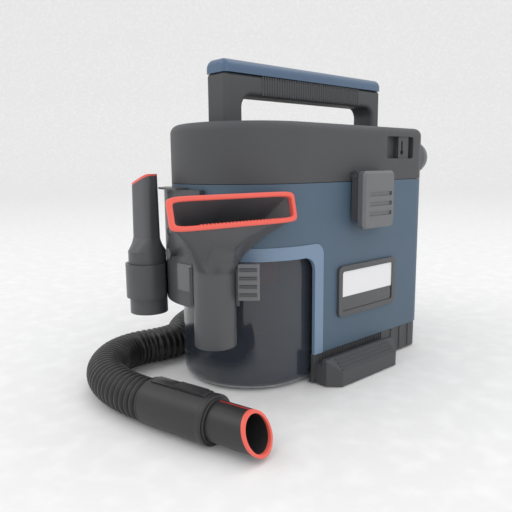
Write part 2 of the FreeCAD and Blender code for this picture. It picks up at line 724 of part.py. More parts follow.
def make_inlet_deflector():
    top = PLATE_BOTTOM
    wall = size("pipe_wall")
    solids = []
    for shrink in (0.0, wall):
        rings = [
            Part.makeCircle(size("duct_radius") - 0.3 - shrink, V(INLET.x - 2, INLET.y, top)),
            Part.makeCircle(size("duct_radius") + 1.0 - shrink, V(INLET.x - 7, INLET.y - 2, top - 16)),
            Part.makeCircle(28.0 - shrink, V(DEFLECTOR.x, DEFLECTOR.y, 152)),
            Part.makeCircle(28.0 - shrink, V(DEFLECTOR.x, DEFLECTOR.y, 100)),
        ]
        solids.append(Part.makeLoft([Part.Wire(r) for r in rings], True, False))
    spout = solids[0].cut(solids[1])
    low = DEFLECTOR.x - 28
    high = DEFLECTOR.x + 28
    slope = [V(low - 9, -FAR, 60), V(high + 9, -FAR, 60), V(high + 9, -FAR, 103), V(low - 9, -FAR, 128)]
    feature("inlet_deflector", spout.cut(prism(outline(slope), V(0, 2 * FAR, 0))))


def make_fan_and_motor():
    fan = size("fan_radius")
    inside = fan + size("fan_clearance")
    low = PLATE_TOP
    floor = low + 2.4
    roof = floor + 20.0
    top = roof + 2.4
    case = cylinder(inside + 3, low, top, MOTOR).cut(cylinder(inside, floor, roof, MOTOR))
    outlet = block(-HALF + 3.4, MOTOR.x - inside + 8, MOTOR.y - 15, MOTOR.y + 15, low, top)
    outlet = outlet.cut(cylinder(inside + 3, low - 1, top + 1, MOTOR))
    case = case.fuse(outlet)
    case = case.cut(block(-HALF, MOTOR.x - inside + 10, MOTOR.y - 12.6, MOTOR.y + 12.6, floor, roof))
    case = case.cut(cylinder(16.0, roof - 1, top + 1, MOTOR))
    case = case.cut(cylinder(6.0, low - 1, floor + 1, MOTOR))
    feature("fan_housing", case.removeSplitter())

    radius = size("motor_radius")
    can_top = PLATE_BOTTOM
    can_low = can_top - size("motor_length")
    bearing = size("bearing_radius")
    can = cylinder(radius, can_low, can_top, MOTOR)
    can = can.cut(cylinder(radius - 2.5, can_low + 3, can_top + 1, MOTOR))
    can = can.fuse(ring(bearing + 3, bearing, can_low + 3, can_low + 10, MOTOR))
    can = can.cut(cylinder(6.0, can_low - 1, can_low + 4, MOTOR))
    for i in range(8):
        a = math.radians(45 * i + 22.5)
        outwards = V(math.cos(a), math.sin(a), 0)
        can = can.cut(Part.makeCylinder(5.0, 20, MOTOR + Z_AXIS * (can_low + 22) + outwards * 25, outwards))
    feature("motor_can", can)
    cap_low = can_top - 7.0
    feature("motor_end_cap", ring(radius - 2.5, bearing, cap_low, can_top, MOTOR))
    bore = size("shaft_radius") + size("shaft_clearance")
    lower = ring(bearing, bore, can_low + 3, can_low + 10, MOTOR)
    upper = ring(bearing, bore, cap_low, cap_low + 7, MOTOR)
    feature("motor_bearings", compound([lower, upper]))
    feature("stator", ring(radius - 2.5, 22.5, can_low + 20, cap_low - 14, MOTOR))

    shaft_low = can_low + 1.5
    feature("motor_shaft", cylinder(size("shaft_radius"), shaft_low, roof - 1.5, MOTOR))
    feature("rotor", ring(21.5, size("shaft_radius"), can_low + 16, cap_low - 10, MOTOR))
    make_impeller(floor + 2.0, roof - 2.0)


def make_impeller(low, high):
    """A back disc with a hub and curved blades round it."""
    fan = size("fan_radius")
    wheel = cylinder(fan, low, low + 2, MOTOR).fuse(cylinder(10, low, high, MOTOR))
    blade_count = 9
    edges = [
        Part.Arc(V(9, 0, 0), V(24, 6, 0), V(fan - 0.5, 2, 0)),
        Part.LineSegment(V(fan - 0.5, 2, 0), V(fan - 0.8, 3.6, 0)),
        Part.Arc(V(fan - 0.8, 3.6, 0), V(24, 7.6, 0), V(9, 1.8, 0)),
        Part.LineSegment(V(9, 1.8, 0), V(9, 0, 0)),
    ]
    for i in range(blade_count):
        blade = upright(edges, low + 1, high)
        blade.rotate(V(0, 0, 0), Z_AXIS, 360.0 / blade_count * i)
        blade.translate(MOTOR)
        wheel = wheel.fuse(blade)
    wheel = wheel.cut(cylinder(size("shaft_radius"), low - 1, high + 1, MOTOR))
    feature("impeller", wheel.removeSplitter())


def make_filter():
    cage = size("cage_radius")
    high = PLATE_BOTTOM
    ball = size("float_radius")
    seat = high - 14.0
    floor = seat - size("float_travel") - 2 * ball - 4.0
    shell = ring(cage, cage - 2, floor, high, FILTER).fuse(cylinder(cage, floor, floor + 2, FILTER))
    shell = shell.fuse(ring(cage - 2, ball - 3, seat, seat + 2.4, FILTER))
    for i in range(6):
        a = math.radians(60 * i)
        out = V(math.cos(a), math.sin(a), 0)
        cut = block(0, 30, -6.5, 6.5, floor + 8, seat - 6)
        cut.rotate(V(0, 0, 0), Z_AXIS, 60 * i)
        cut.translate(FILTER + out * 12)
        shell = shell.cut(cut)
    shell = shell.fuse(ring(size("filter_radius"), cage - 2, high - 2.6, high, FILTER))
    feature("filter_cage", shell.removeSplitter())
    feature("foam_filter", ring(size("filter_radius"), cage + 0.3, floor + 4, high - 2.6, FILTER))
    ball_z = floor + 2.2 + ball
    feature("float_ball", Part.makeSphere(ball, V(FILTER.x, FILTER.y, ball_z)))


# ------------------------------------------------------------------- latches
def mirrored(shape, side):
    """The shape itself on the right, its mirror image on the left."""
    if side > 0:
        return shape
    return shape.mirror(V(0, 0, 0), X_AXIS)


GROOVE_TOP = 195.0
GROOVE_PITCH = 10.3


def make_latches():
    front = size("latch_front")
    rear = size("latch_rear")
    low = size("latch_bottom")
    high = size("latch_top")
    face = HALF + size("latch_reach")
    back = face - size("latch_cover")
    pivot_x = HALF + 6.2
    pivot_z = size("latch_pivot")
    cheek = 3.0
    gap = size("move_clearance")
    clear = size("pin_clearance")
    pin = size("pin_radius")
    catch_end = HALF + 3.9
    mounts = []
    pins = []
    catches = []
    for side, name in ((1, "right"), (-1, "left")):
        cover = rounded_block(back, face, front, rear, low, high, 5.0)
        outer_edges = [edge for edge in cover.Edges if abs(edge.BoundBox.XMin - face) < 0.01]
        cover = cover.makeChamfer(2.6, outer_edges)
        for i in range(3):
            z = GROOVE_TOP - GROOVE_PITCH * i
            groove = rounded_block(face - 1.6, face + 1, front + 9, rear - 6, z - 2.2, z + 2.2, 1.0)
            cover = cover.cut(groove)
        feature("latch_cover_" + name, mirrored(cover, side))

        cheeks = []
        for y in (front + 1.5, rear - 1.5 - cheek):
            plate = block(HALF + 2.0, back, y, y + cheek, low + 9, pivot_z)
            boss = Part.makeCylinder(5.2, cheek, V(pivot_x, y, pivot_z), Y_AXIS)
            plate = plate.cut(block(HALF, pivot_x - 5.2, y - 1, y + cheek + 1, pivot_z - 12, pivot_z + 1))
            bridge = block(pivot_x, back, y, y + cheek, pivot_z - 6, pivot_z + 4)
            solid = plate.fuse([boss, bridge])
            cheeks.append(solid.cut(Part.makeCylinder(pin + clear, 20, V(pivot_x, y - 5, pivot_z), Y_AXIS)))
        spine = block(back - 2.5, back, front + 1.5, rear - 1.5, low + 9, pivot_z - 8)
        hook = block(catch_end + 0.5, back, front + 10, rear - 10, low + 9, low + 13)
        frame = cheeks[0].fuse([cheeks[1], spine, hook]).removeSplitter()
        feature("latch_frame_" + name, mirrored(frame, side))

        y0 = front + 1.5 + cheek + gap
        y1 = rear - 1.5 - cheek - gap
        mount = block(HALF, pivot_x, y0, y1, pivot_z - 4.2, pivot_z + 4.2)
        mount = mount.fuse(Part.makeCylinder(4.2, y1 - y0, V(pivot_x, y0, pivot_z), Y_AXIS))
        mount = mount.cut(Part.makeCylinder(pin, 80, V(pivot_x, y0 - 5, pivot_z), Y_AXIS))
        mounts.append(mirrored(mount, side))
        rod = Part.makeCylinder(pin, rear - front - 3, V(pivot_x, front + 1.5, pivot_z), Y_AXIS)
        pins.append(mirrored(rod, side))
        catch = block(HALF, catch_end, front + 12, rear - 12, low + 13.6, low + 19)
        catches.append(mirrored(catch, side))
    feature("latch_mounts", compound(mounts))
    feature("latch_pins", compound(pins))
    feature("latch_catches", compound(catches))


# ---------------------------------------------------------- bracket and tools
BRACKET_LEFT = -122.0
BRACKET_RIGHT = -73.0


def make_bracket():
    inner = HALF + size("frame_proud") + 0.05
    outer = inner + size("bracket_radial")
    plate = curved_plate(inner, outer, BRACKET_LEFT, BRACKET_RIGHT, 88.0, 203.0)
    peg_angle = -97.5
    outwards = around_nose(peg_angle, 1.0) - around_nose(peg_angle, 0.0)
    at = around_nose(peg_angle, outer, 140.0)
    peg = Part.makeCylinder(3.2, 7.0, at - outwards, outwards)
    peg = peg.fuse(Part.makeCylinder(5.4, 2.2, at + outwards * 6.0, outwards))
    feature("accessory_bracket", plate.fuse(peg).removeSplitter())
    hook = curved_plate(inner, inner + 14.5, BRACKET_LEFT - 1, -88.0, 203.0, 204.8)
    hook = hook.cut(cylinder(TOOL_RADIUS + 0.6, 200, 208, CREVICE))
    feature("bracket_hook", hook)
    feature("bracket_catch", curved_plate(outer, outer + 1.4, -94.0, -80.0, 104.0, 131.0))
    screw_angle = -106.0
    inwards = around_nose(screw_angle, 0.0) - around_nose(screw_angle, 1.0)
    screws = []
    for z in (160.0, 188.0):
        head = Part.makeCylinder(3.4, 2.2, around_nose(screw_angle, outer + 1.8, z), inwards)
        screws.append(head.cut(cylinder(outer, 100, 240, V(0, NOSE_Y, 0))))
    feature("bracket_screws", compound(screws))


def open_ring(centre, inner, outer, gap_angle, gap_half, low, high):
    """A clip: a ring with a slot, gap_half degrees to each side of gap_angle."""
    clip = ring(outer, inner, low, high, centre)
    reach = 3 * outer
    corners = [V(centre.x, centre.y, 0)]
    for share in (-1.0, -0.5, 0.0, 0.5, 1.0):
        a = math.radians(gap_angle + share * gap_half)
        corners.append(V(centre.x + reach * math.cos(a), centre.y + reach * math.sin(a), 0))
    return clip.cut(upright(outline(corners), low - 1, high + 1))


def make_clips():
    inner = HALF + size("frame_proud") + 0.05
    outer = inner + size("bracket_radial")
    wall = size("clip_wall")
    cuff = TOOL_RADIUS
    low, high = 89.0, 125.0
    left = open_ring(CREVICE, cuff + 0.35, cuff + 0.35 + wall, 150.0, 42.0, low, high)
    arm = curved_plate(inner, outer - 2, BRACKET_LEFT - 8, BRACKET_LEFT, low, high)
    arm = arm.cut(cylinder(cuff + 0.35, low - 1, high + 1, CREVICE))
    left = left.fuse(arm).cut(curved_plate(inner - 3, outer + 3, BRACKET_LEFT, BRACKET_RIGHT, 80, 210))
    feature("crevice_clip", left.removeSplitter())

    low, high = 98.0, 133.0
    right = open_ring(NOZZLE, cuff + 0.35, cuff + 0.35 + wall, -45.0, 80.0, low, high)
    arm = curved_plate(inner - 6.0, inner - 0.2, BRACKET_RIGHT - 16, BRACKET_RIGHT + 12, low, high)
    arm = arm.cut(cylinder(cuff + 0.35, low - 1, high + 1, NOZZLE))
    right = right.fuse(arm)
    feature("nozzle_clip", right.cut(curved_plate(inner, outer + 3, BRACKET_LEFT, BRACKET_RIGHT, 80, 210)))

    start = V(NOZZLE.x + cuff + 0.6, NOZZLE.y + 10.5, 0)
    along = V(0.72, 0.69, 0).normalize()
    across = V(-along.y, along.x, 0)
    corners = [start, start + along * 20, start + along * 20 + across * 6, start + across * 6]
    tab = upright(rounded_outline(corners, [0.5, 2.5, 2.5, 0.5]), 104.0, 137.5)
    tab = tab.cut(cylinder(cuff + 0.35 + wall, 97, 160, NOZZLE))
    feature("clip_thumb_tab", tab)


def ring_points(centre, across, up, half_width, half_height, power, count):
    """Points round a rounded rectangle: a superellipse of some power."""
    points = []
    for i in range(count):
        a = 2 * math.pi * (i + 0.5) / count
        c = math.cos(a)
        s = math.sin(a)
        x = half_width * math.copysign(abs(c) ** (2.0 / power), c)
        y = half_height * math.copysign(abs(s) ** (2.0 / power), s)
        points.append(centre + across * x + up * y)
    return points


def ring_section(centre, across, up, half_width, half_height, power):
    """A closed smooth section."""
    curve = Part.BSplineCurve()
    curve.interpolate(ring_points(centre, across, up, half_width, half_height, power, 40), PeriodicFlag=True)
    return Part.Wire(curve.toShape())


def faceted_section(centre, across, up, half_width, half_height, power):
    """A closed section of straight edges."""
    points = ring_points(centre, across, up, half_width, half_height, power, 32)
    return Part.makePolygon(points + [points[0]])


MOUTH = V(85.5, -159.0, 187.5)
MOUTH_TILT = 11.3
MOUTH_ACROSS = V(12.0, 130.0, 0).normalize()
MOUTH_UP = V(-math.sin(math.radians(MOUTH_TILT)), 0, math.cos(math.radians(MOUTH_TILT)))
MOUTH_NORMAL = MOUTH_ACROSS.cross(MOUTH_UP).normalize()


FUNNEL_BASE = 138.0
FUNNEL_STEPS = 6


def nozzle_sections(shrink):
    """Sections from the pipe's top to the mouth, made smaller by a wall."""
    mouth_half = size("nozzle_width") / 2 - shrink
    gap_half = size("nozzle_gap") / 2 - shrink
    radius = TOOL_RADIUS - shrink
    start = V(NOZZLE.x, NOZZLE.y, FUNNEL_BASE)
    bend = (start + MOUTH) / 2 + V(-3.0, 0, 6.0)
    sections = []
    for i in range(FUNNEL_STEPS + 1):
        share = i / FUNNEL_STEPS
        centre = start * (1 - share) ** 2 + bend * (2 * share * (1 - share)) + MOUTH * share ** 2
        tilt = math.radians(90 - MOUTH_TILT) * share
        up = (-X_AXIS * math.cos(tilt) + Z_AXIS * math.sin(tilt)).normalize()
        across = (Y_AXIS * (1 - share) + MOUTH_ACROSS * share).normalize()
        half_width = radius + (mouth_half - radius) * share ** 1.4
        half_height = radius + (gap_half - radius) * share
        power = 2.0 + 3.0 * share
        sections.append(faceted_section(centre, across, up, half_width, half_height, power))
    return sections


def make_wide_nozzle():
    pipe = ring(TOOL_RADIUS, SOCKET, size("nozzle_bottom"), FUNNEL_BASE, NOZZLE)
    outside = Part.makeLoft(nozzle_sections(0.1), True, True)
    inside = Part.makeLoft(nozzle_sections(size("pipe_wall") + 0.1), True, True)
    half_width = size("nozzle_width") / 2
    half_gap = size("nozzle_gap") / 2
    depth = MOUTH_NORMAL * size("rim_height")
    faces = []
    for grow in (0.6, -3.4):
        wire = faceted_section(MOUTH, MOUTH_ACROSS, MOUTH_UP, half_width + grow, half_gap + grow, 5.0)
        faces.append(Part.Face(wire))
    opening = faces[1].copy()
    opening.translate(depth * -1)
    rim = faces[0].extrude(depth).cut(opening.extrude(depth * 3))
    feature("nozzle_rim", rim)
    feature("wide_nozzle", pipe.fuse(outside.cut(inside)))


def make_crevice_tool():
    wall = size("pipe_wall")
    low = size("crevice_bottom")
    shoulder = 138.0
    neck = 152.0
    high = size("crevice_top")
    outer_rings = [
        ring_section(V(CREVICE.x, CREVICE.y, low), X_AXIS, Y_AXIS, TOOL_RADIUS, TOOL_RADIUS, 2.0),
        ring_section(V(CREVICE.x, CREVICE.y, shoulder), X_AXIS, Y_AXIS, TOOL_RADIUS, TOOL_RADIUS, 2.0),
        ring_section(V(CREVICE.x, CREVICE.y, neck), X_AXIS, Y_AXIS, 16.8, 9.0, 4.0),
        ring_section(V(CREVICE.x, CREVICE.y, high), X_AXIS, Y_AXIS, 16.4, 8.0, 4.0),
    ]
    throat = SOCKET - 0.6
    inner_rings = [
        ring_section(V(CREVICE.x, CREVICE.y, shoulder - 2), X_AXIS, Y_AXIS, throat, throat, 2.0),
        ring_section(V(CREVICE.x, CREVICE.y, neck), X_AXIS, Y_AXIS, 16.8 - wall, 9.0 - wall, 4.0),
        ring_section(V(CREVICE.x, CREVICE.y, high + 1), X_AXIS, Y_AXIS, 16.4 - wall, 8.0 - wall, 4.0),
    ]
    tool = Part.makeLoft(outer_rings, True, True)
    tool = tool.cut(cylinder(SOCKET, low - 1, shoulder, CREVICE))
    tool = tool.cut(Part.makeLoft(inner_rings, True, True))
    slope = 0.34
    middle = high - 16 * slope - size("rim_height") / 2
    reach = 40.0

    def above(offset):
        points = [
            V(CREVICE.x - reach, -FAR, middle - reach * slope + offset),
            V(CREVICE.x + reach, -FAR, middle + reach * slope + offset),
            V(CREVICE.x + reach, -FAR, FAR), V(CREVICE.x - reach, -FAR, FAR),
        ]
        return prism(outline(points), V(0, 2 * FAR, 0))

    feature("crevice_tool", tool.cut(above(0.0)))
    feature("crevice_rim", tool.common(above(0.0)).cut(above(size("rim_height") * 0.6)))


# ------------------------------------------------------------- hose and wand
# The route of the hose: out of the elbow, down behind the left side, along the floor
# past the foot, round in front of the nose and into the grip cuff.
HOSE_ROUTE = [
    V(-22.3, 178, 233.5),
    V(-70, 178, 233.5),
    V(-119, 177, 204),
    V(-146, 166, 150),
    V(-160, 143, 94),
    V(-166, 104, 48),
    V(-167, 48, 20),
    V(-160, -12, 20),
    V(-134, -64, 20),
    V(-87, -102, 20),
    V(-101, -170, 20),
    V(-62, -217, 20),
    V(-1.4, -231.6, 20),
    V(43.5, -221.6, 20),
]
WAND_HEADING = V(0.976, 0.218, 0).normalize()
HOSE_SWIVEL = 0.3


def route_radii(points):
    """The largest arc at each inner point: 0.45 of the shorter run on each side."""
    radii = []
    for a, b, c in zip(points, points[1:], points[2:]):
        turn = (b - a).getAngle(c - b)
        shorter = min((b - a).Length, (c - b).Length)
        radii.append(0.45 * shorter / math.tan(turn / 2))
    return radii


def make_hose():
    radii = route_radii(HOSE_ROUTE)
    path = bent_path(HOSE_ROUTE, radii)
    outer = size("hose_radius")
    inner = outer - size("hose_wall")
    hose = tube_along(path, outer, inner)
    expected = math.pi * (outer ** 2 - inner ** 2) * path.Length
    print("hose length %.1f mm, volume %.0f of %.0f mm3" % (path.Length, hose.Volume, expected))
    print("hose radii", ["%.0f" % r for r in radii])
    if abs(hose.Volume / expected - 1) > 0.01:
        raise RuntimeError("the hose's volume is wrong")
    feature("hose_tube", hose)
    cuff_radius = size("cuff_radius")
    at = HOSE_ROUTE[0] + X_AXIS * HOSE_SWIVEL
    length = ELBOW_END - 0.5 - at.x
    cuff = Part.makeCylinder(cuff_radius, length, at, X_AXIS)
    feature("hose_cuff", cuff.cut(Part.makeCylinder(inner, length + 2, at - X_AXIS, X_AXIS)))


def make_wand():
    start = HOSE_ROUTE[-1]
    wall = size("pipe_wall")
    cuff = size("cuff_radius")
    tube = size("wand_radius")
    at = V(start.x, start.y, cuff + 0.3)
    grip_length = 66.0
    tube_end = 113.0
    cuff_solid = Part.makeCylinder(cuff, grip_length, at, WAND_HEADING)
    neck = Part.makeCone(cuff, tube + 1.6, 7.0, at + WAND_HEADING * grip_length, WAND_HEADING)
    bore = Part.makeCylinder(tube - wall, FAR, at - WAND_HEADING * 5, WAND_HEADING)
    catch_start = at + WAND_HEADING * 30 + Z_AXIS * (cuff - 1.6)
    catch = Part.makeBox(30, 11, 3.0, V(0, -5.5, 0))
    catch.Placement = FreeCAD.Placement(catch_start, FreeCAD.Rotation(X_AXIS, WAND_HEADING))
    feature("wand_cuff", cuff_solid.fuse([neck, catch]).cut(bore).removeSplitter())
    tube_start = grip_length + 7.0
    tip = at + WAND_HEADING * tube_end
    lean = 0.42
    face_normal = (WAND_HEADING + Z_AXIS * lean).normalize()
    beyond = Part.makeBox(200, 200, 200, V(-100, -100, 0))
    beyond.Placement = FreeCAD.Placement(tip, FreeCAD.Rotation(Z_AXIS, face_normal))
    rim = size("rim_height") * 0.6
    rim_zone = beyond.copy()
    rim_zone.translate(face_normal * -rim)
    length = 30 + tube_end - tube_start
    whole = Part.makeCylinder(tube, length, at + WAND_HEADING * tube_start, WAND_HEADING)
    whole = whole.cut(bore).cut(beyond)
    feature("wand_tube", whole.cut(rim_zone))
    feature("wand_rim", whole.common(rim_zone))


# ---------------------------------------------------------------------- build
make_housing_shell()
make_window_frame()
make_base_skirt()
make_foot(1, "foot_right")
make_foot(-1, "foot_left")
make_floor_pads()
make_tank()
make_tank_carrier()
make_carrier_screws()
make_badge()
make_head_shell()
make_head_plate()
make_head_gasket()
make_handle()
make_switch()
make_vent()
make_gland()
make_keyhole_plate()
make_inlet()
make_inlet_deflector()
make_fan_and_motor()
make_filter()
make_latches()
make_bracket()
make_clips()
make_wide_nozzle()
make_crevice_tool()
make_hose()
make_wand()
doc.recompute()

# ---------------------------------------------------------------------- check
for item in doc.Objects:
    if "Invalid" in item.State or "Error" in item.State:
        raise RuntimeError("%s did not recompute: %s" % (item.Label, item.State))
for item in sub_parts:
    if item.Shape.isNull() or not item.Shape.isValid() or not item.Shape.Solids:
        raise RuntimeError("%s has no valid solid" % item.Label)

os.makedirs("parts", exist_ok=True)
for item in sub_parts:
    item.Shape.exportStep("parts/%s.step" % item.Label)
print("%d sub-parts" % len(sub_parts))
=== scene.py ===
# %% [markdown]
# # A compact wet and dry vacuum
# This lesson dresses a finished mechanical model. The frame holds every hard part
# at its true size, in metres. We add what the eye looks for: moulded grain, a
# ribbed hose, finger ribs, serrated rims and soft studio light.

# %% Load the frame
import bmesh
import bpy
import json
import math
from mathutils import Matrix, Vector


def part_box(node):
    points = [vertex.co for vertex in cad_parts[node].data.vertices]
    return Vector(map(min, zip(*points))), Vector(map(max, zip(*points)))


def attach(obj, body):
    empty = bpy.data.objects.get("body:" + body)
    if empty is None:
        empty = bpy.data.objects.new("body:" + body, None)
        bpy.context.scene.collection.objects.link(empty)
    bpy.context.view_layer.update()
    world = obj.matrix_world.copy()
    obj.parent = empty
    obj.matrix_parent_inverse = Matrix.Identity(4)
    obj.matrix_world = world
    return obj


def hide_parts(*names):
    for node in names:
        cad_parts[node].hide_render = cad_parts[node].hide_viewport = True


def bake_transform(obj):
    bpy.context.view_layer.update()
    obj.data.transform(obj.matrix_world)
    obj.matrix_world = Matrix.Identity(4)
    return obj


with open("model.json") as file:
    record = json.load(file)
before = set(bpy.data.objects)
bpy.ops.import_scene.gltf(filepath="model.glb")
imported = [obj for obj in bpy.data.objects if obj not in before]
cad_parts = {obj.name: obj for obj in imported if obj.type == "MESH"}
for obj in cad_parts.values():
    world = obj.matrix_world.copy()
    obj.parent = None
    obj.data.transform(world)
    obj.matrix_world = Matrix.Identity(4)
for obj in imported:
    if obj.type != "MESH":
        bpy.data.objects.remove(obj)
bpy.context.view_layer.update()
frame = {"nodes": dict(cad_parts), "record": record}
nodes = frame["nodes"]

# %% [markdown]
# ## Camera
# The real object is seen from a little above its window, turned to its right side.
# A camera can be aimed with a constraint, or its matrix can be built from a heading,
# a pitch and a roll. The matrix is used here, because it states the angle outright.

# %% Camera
camera_data = bpy.data.cameras.new("studio_camera")
camera_data.sensor_width = 36.0
camera_data.lens = 39.594
camera_data.clip_start = 0.01
heading, pitch, roll = (math.radians(a) for a in (47.649, 9.174, -0.527))
forward = Vector((-math.sin(heading) * math.cos(pitch), math.cos(heading) * math.cos(pitch),
                  -math.sin(pitch)))
level_right = Vector((math.cos(heading), math.sin(heading), 0))
level_up = level_right.cross(forward)
right = level_right * math.cos(roll) + level_up * math.sin(roll)
up = level_up * math.cos(roll) - level_right * math.sin(roll)
pose = Matrix((right, up, -forward)).transposed().to_4x4()
pose.translation = Vector((0.454012, -0.471503, 0.226014))
camera = bpy.data.objects.new("studio_camera", camera_data)
camera.matrix_world = pose
bpy.context.scene.collection.objects.link(camera)
bpy.context.scene.camera = camera
print("camera %.3f m from the middle of the housing" % pose.translation.length)

# %% [markdown]
# ## Small helpers
# Every mesh piece is built at its place in the frame, so its object stays at the
# origin, unturned and unscaled. One helper makes a mesh from points and faces and
# turns its faces outward.


# %% Mesh helpers
def piece(name, points, faces, finish, smooth=True, mend=True):
    mesh = bpy.data.meshes.new(name)
    mesh.from_pydata([tuple(p) for p in points], [], faces)
    if mend:
        work = bmesh.new()
        work.from_mesh(mesh)
        bmesh.ops.remove_doubles(work, verts=work.verts, dist=1e-6)
        bmesh.ops.recalc_face_normals(work, faces=work.faces)
        work.to_mesh(mesh)
        work.free()
    mesh.materials.append(finish)
    mesh.polygons.foreach_set("use_smooth", [smooth] * len(mesh.polygons))
    thing = bpy.data.objects.new(name, mesh)
    bpy.context.scene.collection.objects.link(thing)
    return thing


def skin(rows, closed_rows=False):
    """Faces that join rows of points, each row a closed ring of the same count."""
    count = len(rows[0])
    faces = []
    last = len(rows) if closed_rows else len(rows) - 1
    for r in range(last):
        a, b = r * count, ((r + 1) % len(rows)) * count
        for i in range(count):
            j = (i + 1) % count
            faces.append((a + i, a + j, b + j, b + i))
    return [p for row in rows for p in row], faces


def evaluated_mesh(thing):
    """A plain mesh of what an object's curve or modifiers make."""
    bpy.context.view_layer.update()
    evaluated = thing.evaluated_get(bpy.context.evaluated_depsgraph_get())
    return bpy.data.meshes.new_from_object(evaluated)


def crease(thing, degrees=35.0):
    """Smooth shading that keeps edges sharper than an angle."""
    work = bmesh.new()
    work.from_mesh(thing.data)
    for edge in work.edges:
        if len(edge.link_faces) == 2:
            edge.smooth = edge.calc_face_angle(0.0) < math.radians(degrees)
    for face in work.faces:
        face.smooth = True
    work.to_mesh(thing.data)
    work.free()
    return thing


# %% [markdown]
# ## Moulded plastic
# Almost everything on a vacuum is injection moulded. Its skin has a fine spark-eroded
# grain that breaks up highlights, slow changes of gloss where hands and cloths have
# been, and tiny pale specks. One recipe with a few knobs serves every colour. Noise
# on object coordinates keeps the grain the same size on each piece.


# %% Plastic recipe
def moulded(name, colour, roughness, grain=1800.0, depth=0.12, cloud=0.05, coat=0.0,
            alpha=1.0, sheen=0.0):
    material = bpy.data.materials.new(name)
    material.use_nodes = True
    tree = material.node_tree
    shader = tree.nodes["Principled BSDF"]
    link = tree.links.new
    place = tree.nodes.new("ShaderNodeTexCoord")

    slow = tree.nodes.new("ShaderNodeTexNoise")
    slow.inputs["Scale"].default_value = 22.0
    slow.inputs["Detail"].default_value = 3.0
    link(place.outputs["Object"], slow.inputs["Vector"])
    fine = tree.nodes.new("ShaderNodeTexNoise")
    fine.inputs["Scale"].default_value = grain
    fine.inputs["Detail"].default_value = 2.0
    link(place.outputs["Object"], fine.inputs["Vector"])

    tint = tree.nodes.new("ShaderNodeMix")
    tint.data_type = "RGBA"
    tint.inputs[6].default_value = (*[c * (1 - cloud) for c in colour], 1)
    tint.inputs[7].default_value = (*[min(1, c * (1 + cloud)) for c in colour], 1)
    link(slow.outputs["Fac"], tint.inputs[0])
    speck = tree.nodes.new("ShaderNodeMix")
    speck.data_type = "RGBA"
    speck.inputs[7].default_value = (*[min(1, c * 1.12 + 0.004) for c in colour], 1)
    grainy = tree.nodes.new("ShaderNodeMapRange")
    grainy.inputs["From Min"].default_value = 0.45
    grainy.inputs["From Max"].default_value = 0.75
    grainy.inputs["To Max"].default_value = 0.6
    link(fine.outputs["Fac"], grainy.inputs["Value"])
    link(grainy.outputs["Result"], speck.inputs[0])
    link(tint.outputs[2], speck.inputs[6])
    link(speck.outputs[2], shader.inputs["Base Color"])

    gloss = tree.nodes.new("ShaderNodeMapRange")
    gloss.inputs["To Min"].default_value = max(0.02, roughness - 0.07)
    gloss.inputs["To Max"].default_value = min(1.0, roughness + 0.07)
    link(slow.outputs["Fac"], gloss.inputs["Value"])
    link(gloss.outputs["Result"], shader.inputs["Roughness"])

    bump = tree.nodes.new("ShaderNodeBump")
    bump.inputs["Strength"].default_value = depth
    bump.inputs["Distance"].default_value = 0.0004
    link(fine.outputs["Fac"], bump.inputs["Height"])
    link(bump.outputs["Normal"], shader.inputs["Normal"])
    shader.inputs["Coat Weight"].default_value = coat
    shader.inputs["Coat Roughness"].default_value = 0.12
    shader.inputs["Sheen Weight"].default_value = sheen
    shader.inputs["Alpha"].default_value = alpha
    return material


def linear(*srgb):
    """Linear colour from a 0 to 255 display colour."""
    out = []
    for value in srgb:
        v = value / 255.0
        out.append(v / 12.92 if v <= 0.04045 else ((v + 0.055) / 1.055) ** 2.4)
    return out


finishes = {
    "housing_blue": moulded("housing_blue", linear(76, 96, 114), 0.52, cloud=0.03),
    "frame_blue": moulded("frame_blue", linear(118, 140, 164), 0.45, cloud=0.03),
    "charcoal": moulded("charcoal", linear(70, 71, 74), 0.55),
    "dark_grey": moulded("dark_grey", linear(74, 75, 78), 0.42, coat=0.15),
    "latch_grey": moulded("latch_grey", linear(102, 103, 106), 0.38, coat=0.2),
    "cap_blue": moulded("cap_blue", linear(70, 96, 125), 0.36, coat=0.25, cloud=0.03),
    "red_soft": moulded("red_soft", linear(236, 96, 82), 0.48, sheen=0.1, depth=0.05),
    "red_inside": moulded("red_inside", linear(214, 52, 42), 0.4, depth=0.05),
    "black_hose": moulded("black_hose", linear(34, 34, 36), 0.36, grain=900, depth=0.06),
    "black_plastic": moulded("black_plastic", linear(40, 40, 42), 0.4),
    "black_rubber": moulded("black_rubber", linear(30, 30, 31), 0.75, grain=1200, depth=0.2),
    "float_white": moulded("float_white", linear(225, 225, 220), 0.3),
}
print(len(finishes), "moulded finishes")
